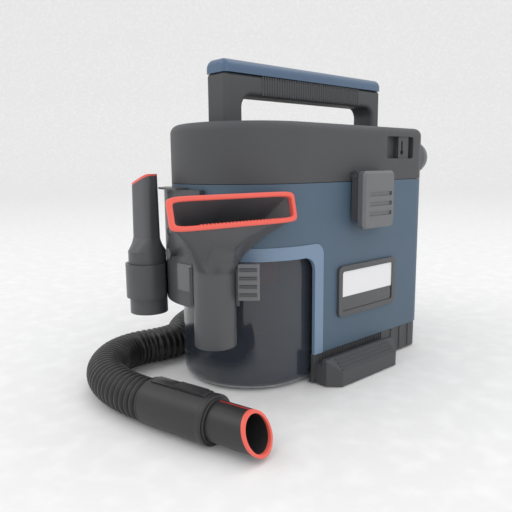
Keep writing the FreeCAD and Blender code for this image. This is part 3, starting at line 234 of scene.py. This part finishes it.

# %% [markdown]
# ## Smoky tank
# The tank is a clear polycarbonate jar tinted dark. It reflects the room sharply and
# shows what is behind it only faintly. Real refraction is slow and noisy through two
# walls, so a dark glossy surface with partial opacity does the job, with a little
# waviness from moulding in its bump.
# Along its thick base edge, a painted highlight turns the colour pale grey.


# %% Tank finish
def tinted_clear(name, colour, painted_base_glint, alpha, roughness):
    """Dark clear plastic with a painted highlight: its thick moulded base edge is coloured pale grey."""
    material = moulded(name, colour, roughness, grain=9.0, depth=0.03, cloud=0.2, coat=0.8, alpha=alpha)
    tree = material.node_tree
    shader = tree.nodes["Principled BSDF"]
    shader.inputs["IOR"].default_value = 1.55
    shader.inputs["Coat Roughness"].default_value = 0.03
    axes = tree.nodes.new("ShaderNodeSeparateXYZ")
    tree.links.new(tree.nodes["Texture Coordinate"].outputs["Object"], axes.inputs[0])
    # Painted highlight: below about 8 mm the base colour blends to pale grey, standing in for light caught in
    # the thick base edge.
    base_glint_mask = tree.nodes.new("ShaderNodeMapRange")
    base_glint_mask.interpolation_type = "SMOOTHSTEP"
    base_glint_mask.inputs["From Min"].default_value = 0.0045
    base_glint_mask.inputs["From Max"].default_value = 0.0085
    tree.links.new(axes.outputs["Z"], base_glint_mask.inputs["Value"])
    edge = tree.nodes.new("ShaderNodeMix")
    edge.data_type = "RGBA"
    edge.inputs[6].default_value = (*painted_base_glint, 1)
    tree.links.new(base_glint_mask.outputs["Result"], edge.inputs[0])
    tree.links.new(tree.nodes["Mix.001"].outputs[2], edge.inputs[7])
    tree.links.new(edge.outputs[2], shader.inputs["Base Color"])
    return material


# The pale grey is the painted highlight on the tank's base edge.
finishes["smoky_clear"] = tinted_clear("smoky_clear", linear(58, 64, 74), linear(190, 192, 196),
                                       0.6, 0.1)

# %% [markdown]
# ## Metal and foam
# Screws, the motor can and the shaft are turned steel, so their grain is drawn out
# round the axis. The foam filter is open cells, which a cell pattern copies.


# %% Metal and foam finishes
def drawn_metal(name, colour, roughness):
    material = moulded(name, colour, roughness, grain=600.0, depth=0.05)
    tree = material.node_tree
    tree.nodes["Principled BSDF"].inputs["Metallic"].default_value = 1.0
    stretch = tree.nodes.new("ShaderNodeMapping")
    stretch.inputs["Scale"].default_value = (0.15, 0.15, 4.0)
    place = tree.nodes["Texture Coordinate"]
    tree.links.new(place.outputs["Object"], stretch.inputs["Vector"])
    tree.links.new(stretch.outputs["Vector"], tree.nodes["Noise Texture.001"].inputs["Vector"])
    return material


def open_foam(name, colour):
    material = moulded(name, colour, 0.95, depth=0.3)
    tree = material.node_tree
    cells = tree.nodes.new("ShaderNodeTexVoronoi")
    cells.inputs["Scale"].default_value = 420.0
    tree.links.new(tree.nodes["Texture Coordinate"].outputs["Object"], cells.inputs["Vector"])
    tree.links.new(cells.outputs["Distance"], tree.nodes["Bump"].inputs["Height"])
    return material


finishes["steel"] = drawn_metal("steel", linear(190, 190, 192), 0.3)
finishes["copper_iron"] = drawn_metal("copper_iron", linear(120, 84, 60), 0.45)
finishes["foam"] = open_foam("foam", linear(46, 46, 48))

# %% [markdown]
# ## Badge
# The side badge is a printed sheet: white above, dark grey below. The two fields are
# one material that switches on height, with a soft grey tint in the print. It is
# left blank, since lettering would belong to a maker.


# %% Badge finish
def two_field_label(name, split, white, dark):
    material = moulded(name, white, 0.3, depth=0.02, coat=0.4, cloud=0.01)
    tree = material.node_tree
    axes = tree.nodes.new("ShaderNodeSeparateXYZ")
    tree.links.new(tree.nodes["Texture Coordinate"].outputs["Object"], axes.inputs[0])
    step = tree.nodes.new("ShaderNodeMapRange")
    step.inputs["From Min"].default_value = split - 0.0002
    step.inputs["From Max"].default_value = split + 0.0002
    tree.links.new(axes.outputs["Z"], step.inputs["Value"])
    fields = tree.nodes.new("ShaderNodeMix")
    fields.data_type = "RGBA"
    fields.inputs[6].default_value = (*dark, 1)
    tree.links.new(step.outputs["Result"], fields.inputs[0])
    tree.links.new(tree.nodes["Mix.001"].outputs[2], fields.inputs[7])
    tree.links.new(fields.outputs[2], tree.nodes["Principled BSDF"].inputs["Base Color"])
    return material


BADGE_SPLIT = 0.0865
finishes["badge_white"] = two_field_label("badge_white", BADGE_SPLIT, linear(232, 232, 234),
                                          linear(66, 67, 70))

# %% [markdown]
# ## Dressing the frame
# Each hard part already names its finish in the record. One loop gives every part
# its material. Parts that need a richer shape are replaced further down.

# %% Finish every hard part
slot_of = {part["node"]: part["material_slot"] for part in frame["record"]["subparts"]}
for node, thing in nodes.items():
    thing.data.materials.clear()
    thing.data.materials.append(finishes[slot_of[node]])
print(len(nodes), "hard parts finished")

# %% [markdown]
# ## Hose
# The hose is a blown tube with rings that let it bend. It leaves the elbow at the
# back, falls behind the left side, runs along the floor round the nose and ends in
# the wand's grip. The route is a smooth spline with a few control points. The ribbed
# tube is then swept along points read from that spline.

# %% Hose route
HOSE_ROUTE = [
    (-0.0223, 0.178, 0.2335), (-0.070, 0.178, 0.2335), (-0.119, 0.177, 0.204),
    (-0.146, 0.166, 0.150), (-0.160, 0.143, 0.094), (-0.166, 0.104, 0.048),
    (-0.167, 0.048, 0.020), (-0.160, -0.012, 0.020), (-0.134, -0.064, 0.020),
    (-0.087, -0.102, 0.020), (-0.101, -0.170, 0.020), (-0.062, -0.217, 0.020),
    (-0.0014, -0.2316, 0.020), (0.0435, -0.2216, 0.020),
]
route_curve = bpy.data.curves.new("hose_route", "CURVE")
route_curve.dimensions = "3D"
spline = route_curve.splines.new("NURBS")
spline.points.add(len(HOSE_ROUTE) - 1)
for point, place in zip(spline.points, HOSE_ROUTE):
    point.co = (*place, 1.0)
spline.order_u = 3
spline.use_endpoint_u = True
spline.resolution_u = 24
route_object = bpy.data.objects.new("hose_route", route_curve)
bpy.context.scene.collection.objects.link(route_object)
line_mesh = evaluated_mesh(route_object)
hose_line = [v.co.copy() for v in line_mesh.vertices]
bpy.data.objects.remove(route_object)
hose_length = sum((b - a).length for a, b in zip(hose_line, hose_line[1:]))
print("hose line of %d points, %.3f m" % (len(hose_line), hose_length))


# %% [markdown]
# ## Ribbed tube
# Rings are part of the tube's own radius, so the sweep changes radius along its
# length: a flat crest, a steep side and a narrow root. A frame carried along without
# twist keeps the rings square to the hose.


# %% Sweep the hose
def along(line, distance):
    """Point and direction at a distance along a line."""
    for a, b in zip(line, line[1:]):
        step = (b - a).length
        if distance <= step or b is line[-1]:
            return a + (b - a) * min(1.0, distance / step), (b - a).normalized()
        distance -= step


def ribbed_tube(line, length, profile, pitch, around):
    rings = max(1, round(length / pitch))
    pitch = length / rings
    rows = []
    side = Vector((0, 1, 0))
    for k in range(rings):
        for share, radius in profile:
            at, heading = along(line, (k + share) * pitch)
            side = (side - heading * side.dot(heading)).normalized()
            other = heading.cross(side)
            rows.append([at + (side * math.cos(a) + other * math.sin(a)) * radius
                         for a in (2 * math.pi * i / around for i in range(around))])
    return rows


RIB_PROFILE = [(0.0, 0.0171), (0.16, 0.0172), (0.30, 0.0189), (0.42, 0.0195), (0.62, 0.0195),
               (0.76, 0.0189), (0.90, 0.0172)]
RIB_PITCH = 0.0066
HOSE_AROUND = 40
hose_rows = ribbed_tube(hose_line, hose_length, RIB_PROFILE, RIB_PITCH, HOSE_AROUND)
hose_points, hose_faces = skin(hose_rows)
for end in (0, -1):
    row = hose_rows[end]
    middle = sum(row, Vector()) / len(row)
    hub = len(hose_points)
    hose_points.append(middle)
    start = 0 if end == 0 else (len(hose_rows) - 1) * HOSE_AROUND
    hose_faces += [(start + i, start + (i + 1) % HOSE_AROUND, hub) for i in range(HOSE_AROUND)]
hose = piece("ribbed_hose", hose_points, hose_faces, finishes["black_hose"])
crease(hose, 50)
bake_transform(hose)
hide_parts("hose_tube")
print("hose faces", len(hose.data.polygons))

# %% [markdown]
# ## Rows of ribs
# Grip ribs, foot ribs and the teeth of the floor nozzle are all the same idea: one
# rounded bar repeated at a fixed step. Geometry Nodes keeps that idea as a recipe
# with named inputs, and the result is turned into a plain mesh for the model.


# %% A rib recipe
def rib_recipe():
    tree = bpy.data.node_groups.new("rib_row", "GeometryNodeTree")
    tree.interface.new_socket("Geometry", in_out="INPUT", socket_type="NodeSocketGeometry")
    for title, kind in (("Count", "Int"), ("Start", "Vector"), ("Step", "Vector"), ("Turn", "Vector"),
                        ("Radius", "Float"), ("Length", "Float"), ("Flatten", "Vector"),
                        ("Finish", "Material")):
        tree.interface.new_socket(title, in_out="INPUT", socket_type="NodeSocket" + kind)
    tree.interface.new_socket("Geometry", in_out="OUTPUT", socket_type="NodeSocketGeometry")
    make, link = tree.nodes.new, tree.links.new
    given, result = make("NodeGroupInput"), make("NodeGroupOutput")
    row = make("GeometryNodeMeshLine")
    row.mode = "OFFSET"
    bar = make("GeometryNodeMeshCylinder")
    bar.inputs["Vertices"].default_value = 12
    copies = make("GeometryNodeInstanceOnPoints")
    real = make("GeometryNodeRealizeInstances")
    paint = make("GeometryNodeSetMaterial")
    link(given.outputs["Count"], row.inputs["Count"])
    link(given.outputs["Start"], row.inputs["Start Location"])
    link(given.outputs["Step"], row.inputs["Offset"])
    link(given.outputs["Radius"], bar.inputs["Radius"])
    link(given.outputs["Length"], bar.inputs["Depth"])
    link(row.outputs["Mesh"], copies.inputs["Points"])
    link(bar.outputs["Mesh"], copies.inputs["Instance"])
    link(given.outputs["Turn"], copies.inputs["Rotation"])
    link(given.outputs["Flatten"], copies.inputs["Scale"])
    link(copies.outputs["Instances"], real.inputs["Geometry"])
    link(real.outputs["Geometry"], paint.inputs["Geometry"])
    link(given.outputs["Finish"], paint.inputs["Material"])
    link(paint.outputs["Geometry"], result.inputs["Geometry"])
    return tree


ribs = rib_recipe()


def rib_row(name, body, finish, count, start, step, radius, length, turn=(0, 0, 0), flatten=(1, 1, 1)):
    thing = piece(name, [(0, 0, 0)], [], finishes[finish])
    modifier = thing.modifiers.new("ribs", "NODES")
    modifier.node_group = ribs
    values = {"Count": count, "Start": start, "Step": step, "Turn": turn, "Radius": radius,
              "Length": length, "Flatten": flatten, "Finish": finishes[finish]}
    for socket in ribs.interface.items_tree:
        if socket.in_out == "INPUT" and socket.name in values:
            modifier[socket.identifier] = values[socket.name]
    made = evaluated_mesh(thing)
    thing.modifiers.clear()
    thing.data = made
    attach(thing, body)
    print(name, "has", len(made.polygons), "faces")
    return thing


# %% [markdown]
# ## Grip, feet and skirt
# A hand needs grip under the handle, so fine upright ribs run along both its sides.
# The feet are stepped so that a shoe can hold them down, and the dark skirt behind
# each foot is ribbed upright.

# %% Ribs on the grip, the feet and the skirt
FOOT_STEPS = [(0.1072, 0.0183), (0.1040, 0.0211), (0.1008, 0.0239), (0.0976, 0.0267)]
for side, word in ((1, "right"), (-1, "left")):
    rib_row("grip_ribs_" + word, "head", "charcoal", 44, (side * 0.0154, -0.060, 0.3062), (0, 0.0037, 0),
            0.00125, 0.019, flatten=(0.7, 1, 1))
    for row, (at_x, at_z) in enumerate(FOOT_STEPS):
        rib_row("foot_step_%s_%d" % (word, row), "root", "charcoal", 1,
                (side * at_x, 0.009, at_z), (0, 0.001, 0), 0.0011, 0.092, turn=(math.pi / 2, 0, 0))
    rib_row("skirt_ribs_" + word, "root", "charcoal", 28, (side * 0.0815, -0.046, 0.0262), (0, 0.0041, 0),
            0.0011, 0.011, flatten=(0.8, 1, 1))
    rib_row("rear_ribs_" + word, "root", "charcoal", 3, (side * 0.0815, 0.085, 0.0175), (0, 0.018, 0),
            0.0014, 0.026, flatten=(0.8, 1, 1))

# %% [markdown]
# ## Floor nozzle
# The nozzle starts as a round pipe, bends outward and opens into a wide flat mouth,
# with the pipe still standing proud in front as a tongue. Two outlines are blended
# along the bend: a circle for the pipe and a flat slot for the fan. At each step the
# larger of the two radii is taken, which joins them without any cutting.

# %% Nozzle body
MOUTH = Vector((0.0855, -0.159, 0.1875))
MOUTH_ACROSS = Vector((12, 130, 0)).normalized()
MOUTH_LEAN = 11.3
MOUTH_UP = Vector((-math.sin(math.radians(MOUTH_LEAN)), 0, math.cos(math.radians(MOUTH_LEAN))))
MOUTH_OUT = MOUTH_ACROSS.cross(MOUTH_UP).normalized()
PIPE = Vector((0.052, -0.157, 0.0))
PIPE_RADIUS = 0.0198
PIPE_BORE = 0.0173
PIPE_BOTTOM = 0.0600
PIPE_TOP = 0.128
NOZZLE_WALL = 0.0024
FAN_THIN = 0.0075
TONGUE_RADIUS = 0.0128
BEND_START = 0.130
MOUTH_HALF = 0.065
MOUTH_GAP = 0.0135


def slot_radius(angle, half_width, half_height, power):
    wide = abs(math.cos(angle) / half_width) ** power
    high = abs(math.sin(angle) / half_height) ** power
    return (wide + high) ** (-1 / power)


def slot_point(a, half_width, half_height, power):
    """A point on a rectangle whose corners are rounded by a power."""
    return (half_width * math.copysign(abs(math.cos(a)) ** (2 / power), math.cos(a)),
            half_height * math.copysign(abs(math.sin(a)) ** (2 / power), math.sin(a)))


def nozzle_ring(share, wall, around=112):
    start = PIPE + Vector((0, 0, BEND_START))
    bend = (start + MOUTH) / 2 + Vector((-0.003, 0, 0.006))
    centre = start * (1 - share) ** 2 + bend * (2 * share * (1 - share)) + MOUTH * share ** 2
    tilt = math.radians(90 - MOUTH_LEAN) * share
    up = Vector((-math.cos(tilt), 0, math.sin(tilt)))
    across = (Vector((0, 1, 0)) * (1 - share) + MOUTH_ACROSS * share).normalized()
    half_width = PIPE_RADIUS + (MOUTH_HALF - PIPE_RADIUS) * share ** 1.15 - wall
    thin = FAN_THIN + (PIPE_RADIUS - FAN_THIN) * (1 - min(1.0, share * 4)) ** 2
    half_height = thin + (MOUTH_GAP - thin) * share ** 2 - wall
    round_part = PIPE_RADIUS + (TONGUE_RADIUS - PIPE_RADIUS) * share ** 3 - wall
    power = 2 + 8 * share
    ring = []
    for i in range(around):
        x, y = slot_point(2 * math.pi * i / around, half_width, half_height, power)
        angle = math.atan2(y, x)
        radius = max(slot_radius(angle, half_width, half_height, power), round_part)
        ring.append(centre + across * (radius * math.cos(angle)) + up * (radius * math.sin(angle)))
    return ring


def pipe_ring(radius, z, around=112):
    return [Vector((PIPE.x - radius * math.sin(a), PIPE.y + radius * math.cos(a), z))
            for a in (2 * math.pi * i / around for i in range(around))]


steps = [i / 22 for i in range(23)]
nozzle_rows = [pipe_ring(PIPE_RADIUS - 0.0006, PIPE_BOTTOM), pipe_ring(PIPE_RADIUS, 0.0606),
               pipe_ring(PIPE_RADIUS, PIPE_TOP)]
nozzle_rows += [nozzle_ring(share, 0.0) for share in steps]
nozzle_rows += [nozzle_ring(share, NOZZLE_WALL) for share in reversed(steps)]
nozzle_rows += [pipe_ring(PIPE_BORE, PIPE_TOP), pipe_ring(PIPE_BORE, PIPE_BOTTOM)]
nozzle_body = piece("floor_nozzle_body", *skin(nozzle_rows, closed_rows=True), finishes["dark_grey"])
crease(nozzle_body, 40)
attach(nozzle_body, "nozzle")
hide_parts("wide_nozzle")
print("nozzle body faces", len(nozzle_body.data.polygons))

# %% [markdown]
# ## Red lip
# A soft red lip is moulded over the mouth. Its corners are tight, its edges are
# rounded over, and small teeth on the lower edge comb debris.


# %% Lip and teeth
LIP_POWER = 10.0


def lip_ring(grow, forward, around=112):
    ring = []
    for i in range(around):
        x, y = slot_point(2 * math.pi * i / around, MOUTH_HALF + grow, MOUTH_GAP + grow, LIP_POWER)
        ring.append(MOUTH + MOUTH_ACROSS * x + MOUTH_UP * y + MOUTH_OUT * forward)
    return ring


LIP_PROFILE = [(0.0002, -0.0006), (0.0008, 0.0002), (0.0008, 0.0030), (0.0003, 0.0038),
               (-0.0006, 0.0041), (-0.0022, 0.0041), (-0.0031, 0.0037), (-0.0034, 0.0030),
               (-0.0034, -0.0006)]
lip_rows = [lip_ring(grow, forward) for grow, forward in LIP_PROFILE]
lip = piece("floor_nozzle_lip", *skin(lip_rows, closed_rows=True), finishes["red_soft"])
crease(lip, 50)
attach(lip, "nozzle")
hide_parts("nozzle_rim")
TEETH = 26
first_tooth = MOUTH - MOUTH_ACROSS * 0.038 - MOUTH_UP * (MOUTH_GAP - 0.0032) + MOUTH_OUT * 0.0021
turn_out = MOUTH_OUT.to_track_quat("Z", "Y").to_euler()
rib_row("floor_nozzle_teeth", "nozzle", "red_soft", TEETH, first_tooth, MOUTH_ACROSS * 0.0037, 0.0009, 0.0034,
        turn=tuple(turn_out))

# %% [markdown]
# ## Thumb tab
# The clip that holds the nozzle is opened with a thumb on four slanted ribs.

# %% Thumb ribs
tab_low, tab_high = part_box("clip_thumb_tab")
tab_run = Vector((0.72, 0.69, 0)).normalized()
tab_face = Vector((tab_run.y, -tab_run.x, 0))
tab_middle = (Vector(tab_low) + Vector(tab_high)) / 2
tab_turn = tab_run.to_track_quat("Z", "Y").to_euler()
first_rib = tab_middle + tab_face * 0.0028 - Vector((0, 0, 0.0115))
rib_row("thumb_ribs", "root", "dark_grey", 4, first_rib, (0, 0, 0.0077),
        0.0016, 0.016, turn=tuple(tab_turn))

# %% [markdown]
# ## Wand details
# The grip has a raised band along its top with a release slot, a dark gap where the
# tube enters it, and a thin red line along the tube.


# %% Wand band, ring and line
WAND_START = Vector((0.0435, -0.2216, 0.0213))
WAND_ALONG = Vector((0.976, 0.218, 0)).normalized()
WAND_SIDE = Vector((-WAND_ALONG.y, WAND_ALONG.x, 0))


def wand_strip(name, finish, start, end, middle, spread, low_radius, high_radius, around=10):
    """A plate that hugs the wand: from one distance to another, over part of its round."""
    rows = []
    edge = min(0.0008, (end - start) / 6)
    for s, drop in ((start, 0.0006), (start + edge, 0), (end - edge, 0), (end, 0.0006)):
        ring = []
        for radius, order in ((high_radius - drop, 1), (low_radius, -1)):
            turns = [middle + spread * (2 * i / around - 1) for i in range(around + 1)][::order]
            for a in turns:
                offset = WAND_SIDE * math.sin(math.radians(a)) + Vector((0, 0, 1)) * math.cos(math.radians(a))
                ring.append(WAND_START + WAND_ALONG * s + offset * radius)
        rows.append(ring)
    points, faces = skin(rows)
    count = len(rows[0])
    faces += [tuple(range(count)), tuple(range(len(points) - count, len(points)))]
    strip = piece(name, points, faces, finishes[finish])
    crease(strip, 40)
    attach(strip, "root")
    return strip


wand_strip("wand_band_rear", "black_plastic", 0.004, 0.034, 0, 17, 0.0202, 0.0222)
wand_strip("wand_band_front", "black_plastic", 0.0365, 0.064, 0, 17, 0.0202, 0.0222)
wand_strip("wand_end_ring", "black_plastic", 0.0655, 0.0715, 0, 180, 0.0172, 0.0212, around=60)
wand_strip("wand_red_line", "red_inside", 0.0735, 0.104, 6, 1.6, 0.0165, 0.01725)

# %% [markdown]
# ## Studio
# A pale floor that curves up behind, and three large soft lights: one high and to
# the left, a broad fill at the right, and one from behind to draw the top edges.

# %% Floor and lights
floor_rows = []
for side in (-6.0, 6.0):
    sweep = [Vector((side, -6.0, 0)), Vector((side, 4.0, 0))]
    sweep += [Vector((side, 4.0 + math.sin(a) * 1.5, 1.5 - math.cos(a) * 1.5))
              for a in (0.3, 0.6, 0.9, 1.2, 1.57)]
    sweep.append(Vector((side, 5.5, 7.0)))
    floor_rows.append(sweep)
span = len(floor_rows[0])
floor_finish = moulded("pale_floor", (0.9, 0.9, 0.9), 0.7, grain=40, depth=0.0, cloud=0.0)
floor = piece("floor", floor_rows[0] + floor_rows[1],
              [(i, i + 1, span + i + 1, span + i) for i in range(span - 1)], floor_finish, mend=False)
turn = Matrix.Rotation(heading, 4, "Z")
floor.data.transform(turn)


def soft_light(name, place, aim, width, power):
    data = bpy.data.lights.new(name, "AREA")
    data.shape = "SQUARE"
    data.size = width
    data.energy = power
    lamp = bpy.data.objects.new(name, data)
    lamp.location = place
    lamp.rotation_euler = (Vector(aim) - Vector(place)).to_track_quat("-Z", "Y").to_euler()
    bpy.context.scene.collection.objects.link(lamp)


soft_light("key", (-0.9, -1.6, 1.9), (0, 0, 0.15), 1.4, 7)
soft_light("fill", (1.9, -0.4, 1.1), (0, 0, 0.15), 1.6, 5)
soft_light("top", (0.2, 0.9, 2.2), (0, 0, 0.2), 1.6, 5)
world = bpy.data.worlds.new("studio")
world.use_nodes = True
world.node_tree.nodes["Background"].inputs["Color"].default_value = (1.0, 1.0, 1.0, 1)
world.node_tree.nodes["Background"].inputs["Strength"].default_value = 0.9
bpy.context.scene.world = world
bpy.context.scene.view_settings.view_transform = "Standard"
print("studio ready")
